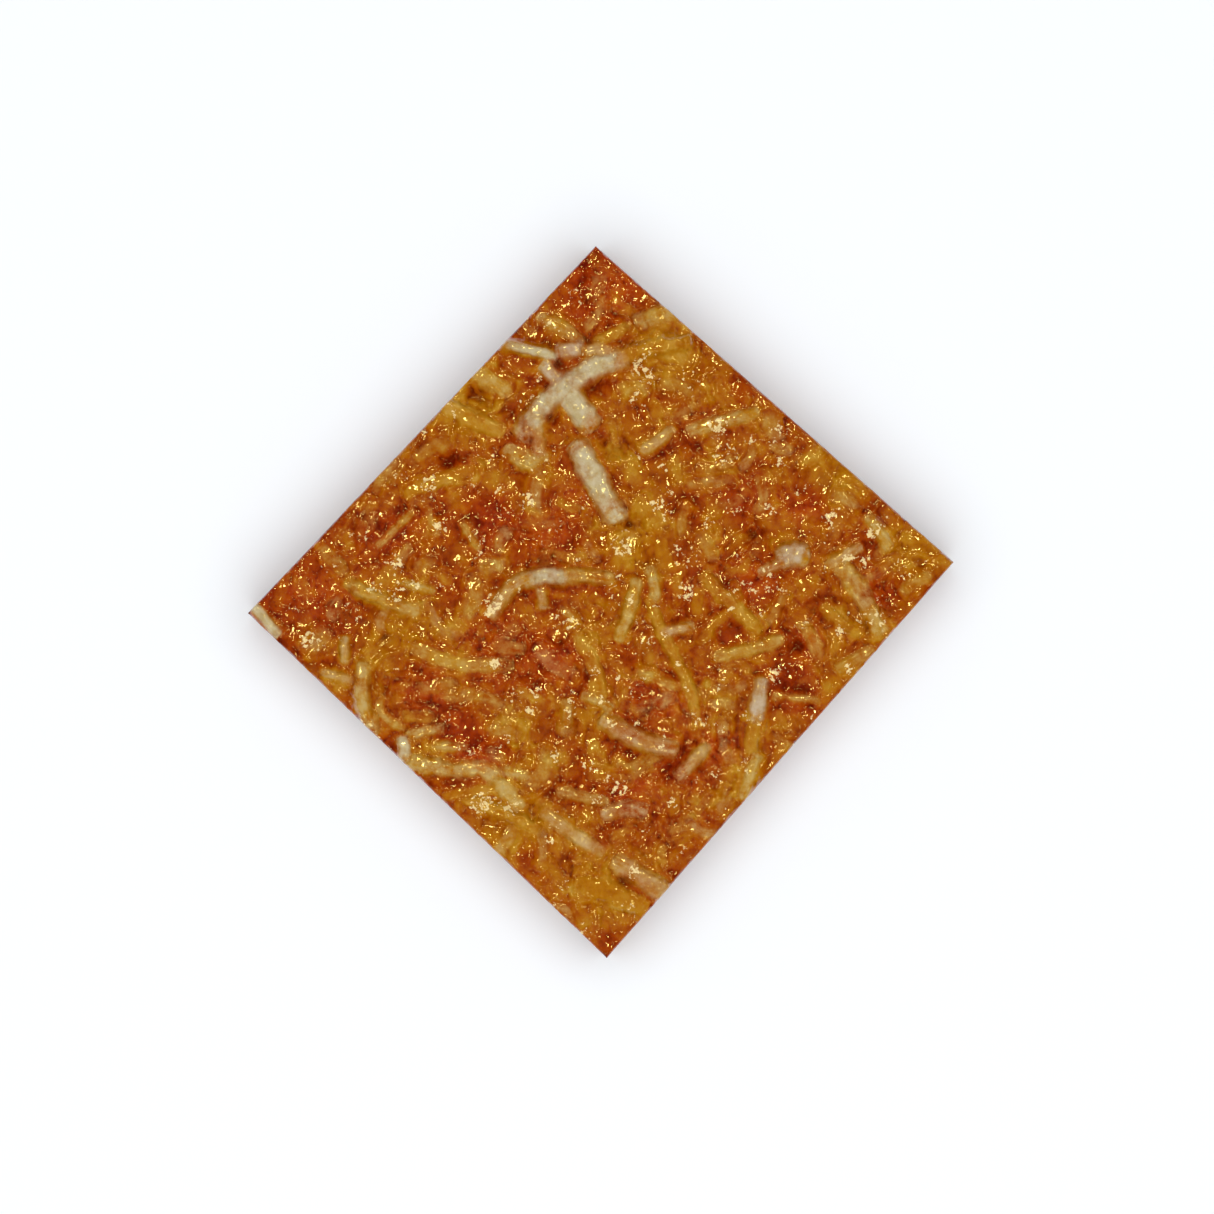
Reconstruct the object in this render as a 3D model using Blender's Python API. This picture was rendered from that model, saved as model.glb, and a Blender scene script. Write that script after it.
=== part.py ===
"""One diamond-cut piece of coconut brittle, lying flat: amber caramel packed with coconut shreds.

A sheet of caramel is poured over long-grated coconut, the longest shreds stay on top, and a knife
cuts the set sheet into diamonds. Units are metres, +Z is up, and the origin is under the middle of
the piece, on the surface that it lies on. +Y points at the far corner of the diamond.
"""

import math
import random

import bmesh
import bpy
from mathutils import Matrix, Vector, noise

MM = 0.001

# The cut diamond: its corners (x, y) in millimetres, anticlockwise from the near one.
CORNERS = [(0.5, -32.3), (32.0, 3.6), (-0.5, 32.3), (-32.0, -1.0)]
SLAB_HEIGHT = 6.3  # mean height of the caramel's top
SIDE_INSET = 0.15  # the caramel shrinks back this far from the cut ends of the shreds

# Relief of the poured top: two sizes of swell, as (wavelength, height).
SWELLS = [(9.0, 0.42), (3.4, 0.26)]
SIDE_ROUGHNESS = 0.05
TOP_CELLS = 28  # grid cells along each side of the top
SIDE_ROWS = 2

# Hollows that the caramel left open between shreds: (x, y, radius, depth).
HOLLOWS = [
    (3.2, 25.5, 1.2, 1.1),
    (-0.9, 19.5, 0.9, 0.9),
    (1.6, 14.3, 1.1, 1.0),
    (2.7, 7.4, 0.9, 0.8),
    (14.0, 6.1, 1.0, 0.8),
    (-11.0, 18.8, 1.1, 0.9),
    (-19.5, -3.2, 0.6, 0.8),
    (17.8, -4.0, 0.6, 0.7),
    (6.9, -0.7, 0.9, 0.6),
    (26.0, 0.7, 1.5, 0.5),
    (1.9, -25.0, 0.9, 0.8),
    (-19.1, -7.5, 0.9, 0.7),
    (5.3, -14.2, 1.4, 0.5),
]

# A shred: its start, middle and end (x, y), its width, and how far its back stands above the caramel.
# The bare shreds lie highest and stayed pale.
BARE_SHREDS = [
    ((1.9, 22.5), (-3.0, 19.6), (-7.3, 14.9), 2.0, 1.35),
    ((-5.3, 21.3), (-3.0, 18.5), (-0.8, 15.6), 2.1, 0.85),
    ((-10.4, 23.8), (-6.5, 22.9), (-3.5, 22.2), 1.3, 0.90),
    ((-3.7, 22.7), (-2.6, 22.9), (-1.4, 22.8), 1.5, 0.75),
    ((-2.2, 14.1), (-0.3, 10.9), (1.7, 7.5), 2.4, 1.05),
    ((16.2, 4.0), (17.7, 4.2), (19.2, 4.2), 2.8, 0.95),
    ((1.0, 2.2), (-2.4, 2.6), (-5.7, 2.4), 1.6, 0.75),
    ((-5.1, 2.5), (-8.1, 1.7), (-10.1, -1.4), 1.9, 1.00),
    ((-5.5, 1.5), (-5.5, 0.5), (-5.2, -0.6), 1.0, 0.55),
    ((-21.4, -5.3), (-21.8, -8.5), (-20.6, -12.4), 1.9, 0.80),
    ((14.6, -6.8), (14.4, -8.6), (14.0, -10.5), 1.8, 0.80),
    ((0.4, -10.7), (3.5, -12.7), (7.4, -13.5), 1.9, 1.05),
    ((-6.2, 16.1), (-5.6, 14.6), (-5.5, 13.1), 1.1, 0.65),
    ((-15.2, -13.2), (-13.8, -13.4), (-12.3, -13.3), 1.2, 0.55),
]
# The glazed shreds are half drowned in the caramel.
GLAZED_SHREDS = [
    ((8.1, 23.5), (4.5, 23.2), (1.0, 22.0), 2.2, 0.55),
    ((-31.9, 0.9), (-30.3, -1.5), (-28.6, -4.0), 1.9, 0.50),
    ((-23.3, -3.2), (-23.3, -4.3), (-23.2, -5.4), 1.2, 0.55),
    ((-25.7, -6.4), (-23.9, -7.0), (-22.1, -7.1), 1.2, 0.50),
    ((3.3, 2.0), (2.8, -0.9), (1.6, -3.3), 1.5, 0.70),
    ((4.2, 2.7), (4.8, 1.4), (4.9, 0.2), 1.3, 0.55),
    ((5.4, -2.9), (6.9, -2.7), (8.4, -2.3), 1.2, 0.50),
    ((4.6, -0.4), (7.2, -4.8), (8.7, -11.6), 1.4, 0.60),
    ((9.0, 1.8), (12.0, -0.4), (14.5, -2.7), 1.9, 0.60),
    ((10.5, -4.9), (13.5, -4.4), (16.4, -3.5), 1.6, 0.60),
    ((21.5, 3.3), (23.4, 0.6), (25.4, -2.7), 2.4, 0.60),
    ((20.5, -0.7), (22.0, -2.0), (23.3, -3.0), 1.3, 0.65),
    ((20.6, 3.4), (22.0, 4.3), (23.5, 5.0), 1.0, 0.55),
    ((24.3, 7.5), (25.3, 6.3), (26.1, 4.9), 1.5, 0.60),
    ((8.1, 15.6), (10.6, 16.5), (14.2, 17.5), 1.6, 0.55),
    ((3.5, 13.4), (5.1, 14.4), (6.5, 15.6), 1.4, 0.55),
    ((3.4, 25.6), (5.6, 26.3), (8.4, 27.0), 2.4, 0.55),
    ((-0.5, 23.8), (1.0, 24.8), (2.6, 25.5), 1.3, 0.50),
    ((-5.7, 25.8), (-3.6, 24.6), (-1.7, 23.6), 1.7, 0.50),
    ((-11.5, 20.9), (-10.0, 20.1), (-8.5, 19.1), 2.4, 0.45),
    ((-15.6, 18.6), (-11.9, 16.7), (-8.8, 15.5), 2.2, 0.60),
    ((-8.5, 14.1), (-6.8, 13.4), (-5.1, 13.3), 1.9, 0.50),
    ((-17.5, 10.0), (-14.6, 11.3), (-11.2, 12.3), 1.5, 0.50),
    ((-22.8, 1.7), (-20.3, 0.4), (-16.7, -0.8), 1.4, 0.70),
    ((-17.2, -4.4), (-13.3, -5.5), (-8.7, -5.6), 2.0, 0.35),
    ((-1.9, -3.5), (-0.3, -6.4), (-0.3, -8.9), 2.2, 0.45),
    ((3.4, -6.4), (5.3, -7.3), (7.2, -8.0), 1.3, 0.45),
    ((7.0, -16.0), (8.6, -14.6), (9.9, -12.8), 1.5, 0.60),
    ((21.5, -6.4), (23.2, -5.4), (25.4, -4.0), 1.5, 0.50),
    ((27.5, 0.7), (29.0, 1.9), (30.8, 3.0), 1.6, 0.45),
    ((14.2, -13.9), (13.4, -16.0), (12.6, -18.4), 1.6, 0.50),
    ((1.4, -23.6), (4.0, -25.3), (7.4, -27.5), 2.2, 0.85),
    ((-1.9, -25.5), (1.0, -26.2), (4.2, -28.3), 2.5, 0.55),
    ((-12.5, -17.8), (-9.2, -19.1), (-5.8, -20.7), 1.6, 0.70),
    ((-18.3, -14.4), (-10.5, -15.3), (-7.5, -18.7), 2.2, 0.60),
    ((-5.1, -19.1), (-2.4, -20.9), (-0.1, -23.3), 1.8, 0.50),
    ((3.5, 5.5), (7.2, 7.2), (12.2, 7.5), 1.5, 0.45),
    ((-0.1, 14.3), (0.9, 13.2), (1.5, 11.9), 1.5, 0.50),
]

# The shorter shreds between them follow one rule.
LOOSE_COUNT = 30
LOOSE_LENGTH = (3.4, 6.4)
LOOSE_WIDTH = (1.1, 1.9)
LOOSE_RISE = (0.28, 0.48)
LOOSE_ROOM = 2.3  # least distance between their middles and any other shred's
LOOSE_MARGIN = 1.5  # least distance of a middle from the cut sides
LOOSE_SEED = 11

# Shreds inside the slab that the knife went through, so that their ends show on its sides.
CUT_SPACING = 4.6
CUT_LENGTH = 6.5
CUT_OVERHANG = 2.0
CUT_WIDTH = (1.2, 2.3)
CUT_LAYERS = (1.3, 3.0, 4.5)  # heights of their middles
CUT_SEED = 5

THICKNESS_SHARE = 0.62  # a shred's thickness for its width
SECTION_CORNERS = 6
STATION_SPACING = 1.8  # length of shred between two sections
END_TAPER = 0.62
END_DIP = 0.35  # how far a shred's ends dive into the caramel

KNIFE_REACH = 20.0  # how far the knife's block reaches above and below the slab

CARAMEL_COLOUR = (0.36, 0.11, 0.012)
SHARPEST_SMOOTH_EDGE = math.radians(40.0)


def clear_scene():
    for obj in list(bpy.data.objects):
        bpy.data.objects.remove(obj)


def caramel_material():
    material = bpy.data.materials.new("brittle")
    material.use_nodes = True
    shader = material.node_tree.nodes["Principled BSDF"]
    shader.inputs["Base Color"].default_value = (*CARAMEL_COLOUR, 1.0)
    shader.inputs["Roughness"].default_value = 0.22
    shader.inputs["Metallic"].default_value = 0.0
    return material


def new_object(name, mesh):
    """An object for a mesh that is modelled in millimetres."""
    mesh.transform(Matrix.Scale(MM, 4))
    obj = bpy.data.objects.new(name, mesh)
    bpy.context.scene.collection.objects.link(obj)
    return obj


def inset_corners(distance):
    """The diamond's corners moved in by this distance from both of their sides."""
    moved = []
    for index, corner in enumerate(CORNERS):
        here = Vector(corner)
        ahead = (Vector(CORNERS[(index + 1) % 4]) - here).normalized()
        behind = (Vector(CORNERS[index - 1]) - here).normalized()
        half_angle = ahead.angle(behind) / 2
        moved.append(here + (ahead + behind).normalized() * distance / math.sin(half_angle))
    return moved


def distance_inside(x, y):
    """Distance to the nearest side of the diamond, negative outside it."""
    nearest = math.inf
    for index, corner in enumerate(CORNERS):
        side = Vector(CORNERS[(index + 1) % 4]) - Vector(corner)
        inward = Vector((-side.y, side.x)).normalized()
        nearest = min(nearest, inward.dot(Vector((x, y)) - Vector(corner)))
    return nearest


def caramel_height(x, y):
    """Height of the caramel's top: the poured swells, less the hollows."""
    height = SLAB_HEIGHT
    for wavelength, swell in SWELLS:
        height += swell * noise.noise(Vector((x, y, 0.0)) / wavelength)
    for hollow_x, hollow_y, radius, depth in HOLLOWS:
        reach = math.hypot(x - hollow_x, y - hollow_y) / radius
        height -= depth * math.exp(-reach * reach)
    return height


def caramel_slab():
    """The caramel: a grid laid over the diamond, with its rim drawn down to a flat foot."""
    near, right, far, left = inset_corners(SIDE_INSET)
    bm = bmesh.new()
    bmesh.ops.create_grid(bm, x_segments=TOP_CELLS, y_segments=TOP_CELLS, size=0.5)
    for vert in bm.verts:
        across, along = vert.co.x + 0.5, vert.co.y + 0.5
        spot = near.lerp(right, across).lerp(left.lerp(far, across), along)
        vert.co = (*spot, caramel_height(*spot))

    rim = [edge for edge in bm.edges if edge.is_boundary]
    for row in range(SIDE_ROWS):
        share = 1.0 - 1.0 / (SIDE_ROWS - row)
        drawn = bmesh.ops.extrude_edge_only(bm, edges=rim)["geom"]
        rim = [item for item in drawn if isinstance(item, bmesh.types.BMEdge)]
        for vert in (item for item in drawn if isinstance(item, bmesh.types.BMVert)):
            roughness = SIDE_ROUGHNESS * noise.noise_vector(vert.co)
            vert.co.z *= share
            if share > 0.0:
                vert.co.x += roughness.x
                vert.co.y += roughness.y
    bmesh.ops.contextual_create(bm, geom=rim)
    bmesh.ops.recalc_face_normals(bm, faces=bm.faces[:])
    mesh = bpy.data.meshes.new("brittle")
    bm.to_mesh(mesh)
    bm.free()
    return new_object("brittle", mesh)


def curve_through(start, middle, end, share):
    """A point on the parabola through three points."""
    before = Vector(start) * (2 * share - 1) * (share - 1)
    between = Vector(middle) * 4 * share * (1 - share)
    after = Vector(end) * share * (2 * share - 1)
    return before + between + after


def shred(collection, path, width, height_at, rng):
    """One shred of coconut: a flat six-sided strip, drawn section by section along its path."""
    start, middle, end = path
    length = (Vector(middle) - Vector(start)).length + (Vector(end) - Vector(middle)).length
    stations = max(3, round(length / STATION_SPACING)) + 1
    tilt = rng.uniform(-0.25, 0.25)
    swelling = rng.uniform(0.0, math.tau)
    thickness = THICKNESS_SHARE * width

    bm = bmesh.new()
    ring = None
    for station in range(stations):
        share = station / (stations - 1)
        spot = curve_through(start, middle, end, share)
        step = 0.02
        heading = curve_through(start, middle, end, share + step) - curve_through(
            start, middle, end, share - step
        )
        from_middle = abs(2 * share - 1)
        fullness = 1.0 - (1.0 - END_TAPER) * from_middle**6
        fullness *= 1.0 + 0.09 * math.sin(swelling + 5.0 * share)
        height = height_at(*spot) - thickness / 2 - END_DIP * from_middle**4
        frame = (
            Matrix.Translation((*spot, height))
            @ Matrix.Rotation(math.atan2(heading.y, heading.x), 4, "Z")
            @ Matrix.Rotation(tilt * math.cos(2.0 * share + swelling), 4, "X")
        )
        verts = []
        for corner in range(SECTION_CORNERS):
            angle = math.tau * corner / SECTION_CORNERS
            across = width / 2 * fullness * math.cos(angle)
            upward = thickness / 2 * fullness * math.sin(angle) / math.sin(math.pi / 3)
            verts.append(bm.verts.new(frame @ Vector((0.0, across, upward))))
        if ring is None:
            bm.faces.new(verts)
        else:
            for corner in range(SECTION_CORNERS):
                after = (corner + 1) % SECTION_CORNERS
                bm.faces.new((ring[corner], ring[after], verts[after], verts[corner]))
        ring = verts
    bm.faces.new(ring)
    bmesh.ops.recalc_face_normals(bm, faces=bm.faces[:])
    mesh = bpy.data.meshes.new("shred")
    bm.to_mesh(mesh)
    bm.free()
    obj = new_object("shred", mesh)
    bpy.context.scene.collection.objects.unlink(obj)
    collection.objects.link(obj)


def top_shreds(collection):
    """The long shreds at their own places, then shorter ones wherever there is room."""
    rng = random.Random(LOOSE_SEED)
    placed = []
    for start, middle, end, width, rise in BARE_SHREDS + GLAZED_SHREDS:
        shred(collection, (start, middle, end), width, lambda x, y: caramel_height(x, y) + rise, rng)
        placed += [start, middle, end]

    made = 0
    while made < LOOSE_COUNT:
        x, y = rng.uniform(-32.0, 32.0), rng.uniform(-32.0, 32.0)
        heading = rng.uniform(0.0, math.tau)
        half = rng.uniform(*LOOSE_LENGTH) / 2
        width = rng.uniform(*LOOSE_WIDTH)
        rise = rng.uniform(*LOOSE_RISE)
        bow = rng.uniform(-0.5, 0.5)
        if distance_inside(x, y) < LOOSE_MARGIN:
            continue
        if any(math.hypot(x - a, y - b) < LOOSE_ROOM for a, b in placed):
            continue
        along = Vector((math.cos(heading), math.sin(heading)))
        middle = Vector((x, y))
        bowed = middle + bow * Vector((-along.y, along.x))
        path = (middle - half * along, bowed, middle + half * along)
        shred(collection, path, width, lambda a, b: caramel_height(a, b) + rise, rng)
        placed.append((x, y))
        made += 1


def cut_shreds(collection):
    """Shreds inside the slab that run out through its sides."""
    rng = random.Random(CUT_SEED)
    for index, corner in enumerate(CORNERS):
        here, there = Vector(corner), Vector(CORNERS[(index + 1) % 4])
        along = (there - here).normalized()
        inward = Vector((-along.y, along.x))
        count = round((there - here).length / CUT_SPACING)
        for place in range(count):
            share = (place + rng.uniform(0.3, 0.7)) / count
            layer = CUT_LAYERS[(place + index) % len(CUT_LAYERS)]
            middle_height = layer + rng.uniform(-0.25, 0.25)
            width = rng.uniform(*CUT_WIDTH)
            slant = rng.choice((-1, 1)) * rng.uniform(0.1, 1.1)
            direction = (inward + math.tan(slant) * along).normalized()
            outer = here.lerp(there, share) - CUT_OVERHANG * direction
            inner = outer + CUT_LENGTH * direction
            top = middle_height + THICKNESS_SHARE * width / 2
            path = (outer, (outer + inner) / 2, inner)
            shred(collection, path, width, lambda x, y: top, rng)


def join_shreds(slab):
    """Fuses every shred to the caramel, and removes the separate ones."""
    collection = bpy.data.collections.new("shreds")
    bpy.context.scene.collection.children.link(collection)
    top_shreds(collection)
    cut_shreds(collection)
    union = slab.modifiers.new("fused shreds", "BOOLEAN")
    union.operation = "UNION"
    union.operand_type = "COLLECTION"
    union.collection = collection
    union.solver = "MANIFOLD"  # EXACT leaves slivers where this many shreds meet
    bake_modifiers(slab)
    for obj in list(collection.objects):
        bpy.data.objects.remove(obj)
    bpy.data.collections.remove(collection)


def cut_to_diamond(slab):
    """The knife: keeps what lies inside the diamond and above the surface that it lies on."""
    bm = bmesh.new()
    foot = [bm.verts.new((x, y, 0.0)) for x, y in CORNERS]
    drawn = bmesh.ops.extrude_face_region(bm, geom=[bm.faces.new(foot)])["geom"]
    for vert in (item for item in drawn if isinstance(item, bmesh.types.BMVert)):
        vert.co.z = SLAB_HEIGHT + KNIFE_REACH
    for vert in foot:
        vert.co.z = -KNIFE_REACH
    bmesh.ops.recalc_face_normals(bm, faces=bm.faces[:])
    mesh = bpy.data.meshes.new("knife")
    bm.to_mesh(mesh)
    bm.free()
    knife = new_object("knife", mesh)
    cut = slab.modifiers.new("knife cuts", "BOOLEAN")
    cut.operation = "INTERSECT"
    cut.object = knife
    cut.solver = "MANIFOLD"
    bake_modifiers(slab)
    bpy.data.objects.remove(knife)


def bake_modifiers(obj):
    """Replaces an object's mesh by the one that its modifiers make."""
    graph = bpy.context.evaluated_depsgraph_get()
    mesh = bpy.data.meshes.new_from_object(obj.evaluated_get(graph))
    obj.modifiers.clear()
    obj.data = mesh


def centre(obj):
    """Puts the middle of the footprint over the origin."""
    xs = [vert.co.x for vert in obj.data.vertices]
    ys = [vert.co.y for vert in obj.data.vertices]
    middle = Vector(((min(xs) + max(xs)) / 2, (min(ys) + max(ys)) / 2, 0.0))
    obj.data.transform(Matrix.Translation(-middle))


clear_scene()
brittle = caramel_slab()
join_shreds(brittle)
cut_to_diamond(brittle)
centre(brittle)
brittle.data.materials.clear()
brittle.data.materials.append(caramel_material())
brittle.data.shade_smooth()
brittle.data.set_sharp_from_angle(angle=SHARPEST_SMOOTH_EDGE)
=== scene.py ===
import math
import random

import bpy
import numpy as np
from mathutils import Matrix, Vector, noise


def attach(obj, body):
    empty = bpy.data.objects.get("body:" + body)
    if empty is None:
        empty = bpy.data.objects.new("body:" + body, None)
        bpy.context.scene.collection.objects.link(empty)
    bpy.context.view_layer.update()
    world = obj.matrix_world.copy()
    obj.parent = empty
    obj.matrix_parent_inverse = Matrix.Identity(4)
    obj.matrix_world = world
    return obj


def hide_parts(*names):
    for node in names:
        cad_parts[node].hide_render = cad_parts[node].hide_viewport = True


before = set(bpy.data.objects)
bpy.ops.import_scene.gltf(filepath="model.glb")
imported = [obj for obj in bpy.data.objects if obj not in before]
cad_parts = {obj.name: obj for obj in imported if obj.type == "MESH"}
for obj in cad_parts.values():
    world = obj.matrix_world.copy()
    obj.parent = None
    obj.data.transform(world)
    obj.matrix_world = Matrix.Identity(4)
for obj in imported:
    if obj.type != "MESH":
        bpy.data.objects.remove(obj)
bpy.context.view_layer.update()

MM = 0.001


# ---- The table, the light and the camera ----
# The sweet lies on a plain white sheet under a broad soft light, with a few small bright lamps
# whose reflections make its glaze sparkle. It is looked at from straight above.

SLAB_HEIGHT = 6.3  # millimetres, the mean height of the caramel's top
FRAME_WIDTH = 109.4  # millimetres of the top that the view takes in
VIEW_CENTRE = (0.545, -0.437)
LENS = 120.0
SENSOR = 36.0

SHEET_SIZE = 4.0
SHEET_COLOUR = (0.87, 0.90, 0.93)  # a touch cool, against the warm light off the caramel

# The broad light and the room light the coconut and the sheet, and the lamps only its gloss.
SOFT_LIGHT_SIZE = 0.9
SOFT_LIGHT_PLACE = (0.0, -0.05, 0.45)
SOFT_LIGHT_POWER = 2.8
ROOM_BRIGHTNESS = 0.45

# Each lamp: its bearing from +X and its elevation in degrees, its width in metres, and its power.
LAMP_COLOUR = (1.0, 0.82, 0.22)
LAMPS = [
    (118.0, 69.0, 0.040, 0.340),
    (30.0, 60.0, 0.036, 0.080),
    (262.0, 64.0, 0.036, 0.070),
    (45.0, 38.0, 0.070, 0.045),
    (135.0, 38.0, 0.070, 0.045),
    (225.0, 38.0, 0.070, 0.045),
    (315.0, 38.0, 0.070, 0.045),
]
LAMP_DISTANCE = 0.45

bpy.context.scene.view_settings.view_transform = "Standard"


def new_material(name):
    """An empty material with one Principled BSDF on its output."""
    material = bpy.data.materials.new(name)
    material.use_nodes = True
    return material, material.node_tree, material.node_tree.nodes["Principled BSDF"]


def lay_sheet():
    bpy.ops.object.select_all(action="DESELECT")
    bpy.ops.mesh.primitive_plane_add(size=SHEET_SIZE)
    sheet = bpy.context.object
    sheet.name = "white_sheet"
    material, tree, shader = new_material("white sheet")
    shader.inputs["Base Color"].default_value = (*SHEET_COLOUR, 1.0)
    shader.inputs["Roughness"].default_value = 0.9
    shader.inputs["Specular IOR Level"].default_value = 0.1
    sheet.data.materials.append(material)


def hang_light(name, place, size, power, colour=(1.0, 1.0, 1.0)):
    data = bpy.data.lights.new(name, "AREA")
    data.shape = "DISK"
    data.size = size
    data.energy = power
    data.color = colour
    lamp = bpy.data.objects.new(name, data)
    lamp.location = place
    lamp.rotation_euler = (-Vector(place)).to_track_quat("-Z", "Y").to_euler()
    bpy.context.scene.collection.objects.link(lamp)
    return lamp


def set_lights():
    soft = hang_light("soft_light", SOFT_LIGHT_PLACE, SOFT_LIGHT_SIZE, SOFT_LIGHT_POWER)
    soft.visible_glossy = False
    for index, (bearing, elevation, size, power) in enumerate(LAMPS):
        bearing, elevation = math.radians(bearing), math.radians(elevation)
        flat = LAMP_DISTANCE * math.cos(elevation)
        place = (flat * math.cos(bearing), flat * math.sin(bearing), LAMP_DISTANCE * math.sin(elevation))
        lamp = hang_light(f"lamp_{index}", place, size, power, LAMP_COLOUR)
        lamp.visible_diffuse = False
    world = bpy.data.worlds.new("room")
    world.use_nodes = True
    world.node_tree.nodes["Background"].inputs["Strength"].default_value = ROOM_BRIGHTNESS
    world.node_tree.nodes["Background"].inputs["Color"].default_value = (1.0, 1.0, 1.0, 1.0)
    world.cycles_visibility.glossy = False
    bpy.context.scene.world = world


def set_camera():
    data = bpy.data.cameras.new("camera")
    data.lens = LENS
    data.sensor_width = SENSOR
    camera = bpy.data.objects.new("camera", data)
    above = SLAB_HEIGHT + FRAME_WIDTH * LENS / SENSOR
    camera.location = (VIEW_CENTRE[0] * MM, VIEW_CENTRE[1] * MM, above * MM)
    bpy.context.scene.collection.objects.link(camera)
    bpy.context.scene.camera = camera


lay_sheet()
set_lights()
set_camera()


# ---- The coconut, laid out ----
# Coconut is grated into long flat shreds, stirred into boiled sugar and poured. The longest
# shreds stay on top, some bare and pale, the others glazed, and the rest are drowned.


def screen_colour(red, green, blue):
    """The linear colour that a screen shows with these 0 to 255 values."""
    shown = [value / 255 for value in (red, green, blue)]
    linear = [v / 12.92 if v <= 0.04045 else ((v + 0.055) / 1.055) ** 2.4 for v in shown]
    return (*linear, 1.0)


# Colours of the coconut's flesh, from dry to soaked.
FLESH = {
    "cream": screen_colour(198, 184, 148),
    "blush": screen_colour(194, 172, 144),
    "pink": screen_colour(190, 156, 110),
    "rose": screen_colour(186, 150, 94),
    "straw": screen_colour(190, 160, 98),
    "tan": screen_colour(186, 146, 74),
    "gold": screen_colour(184, 131, 44),
    "amber": screen_colour(176, 112, 18),
}

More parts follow.
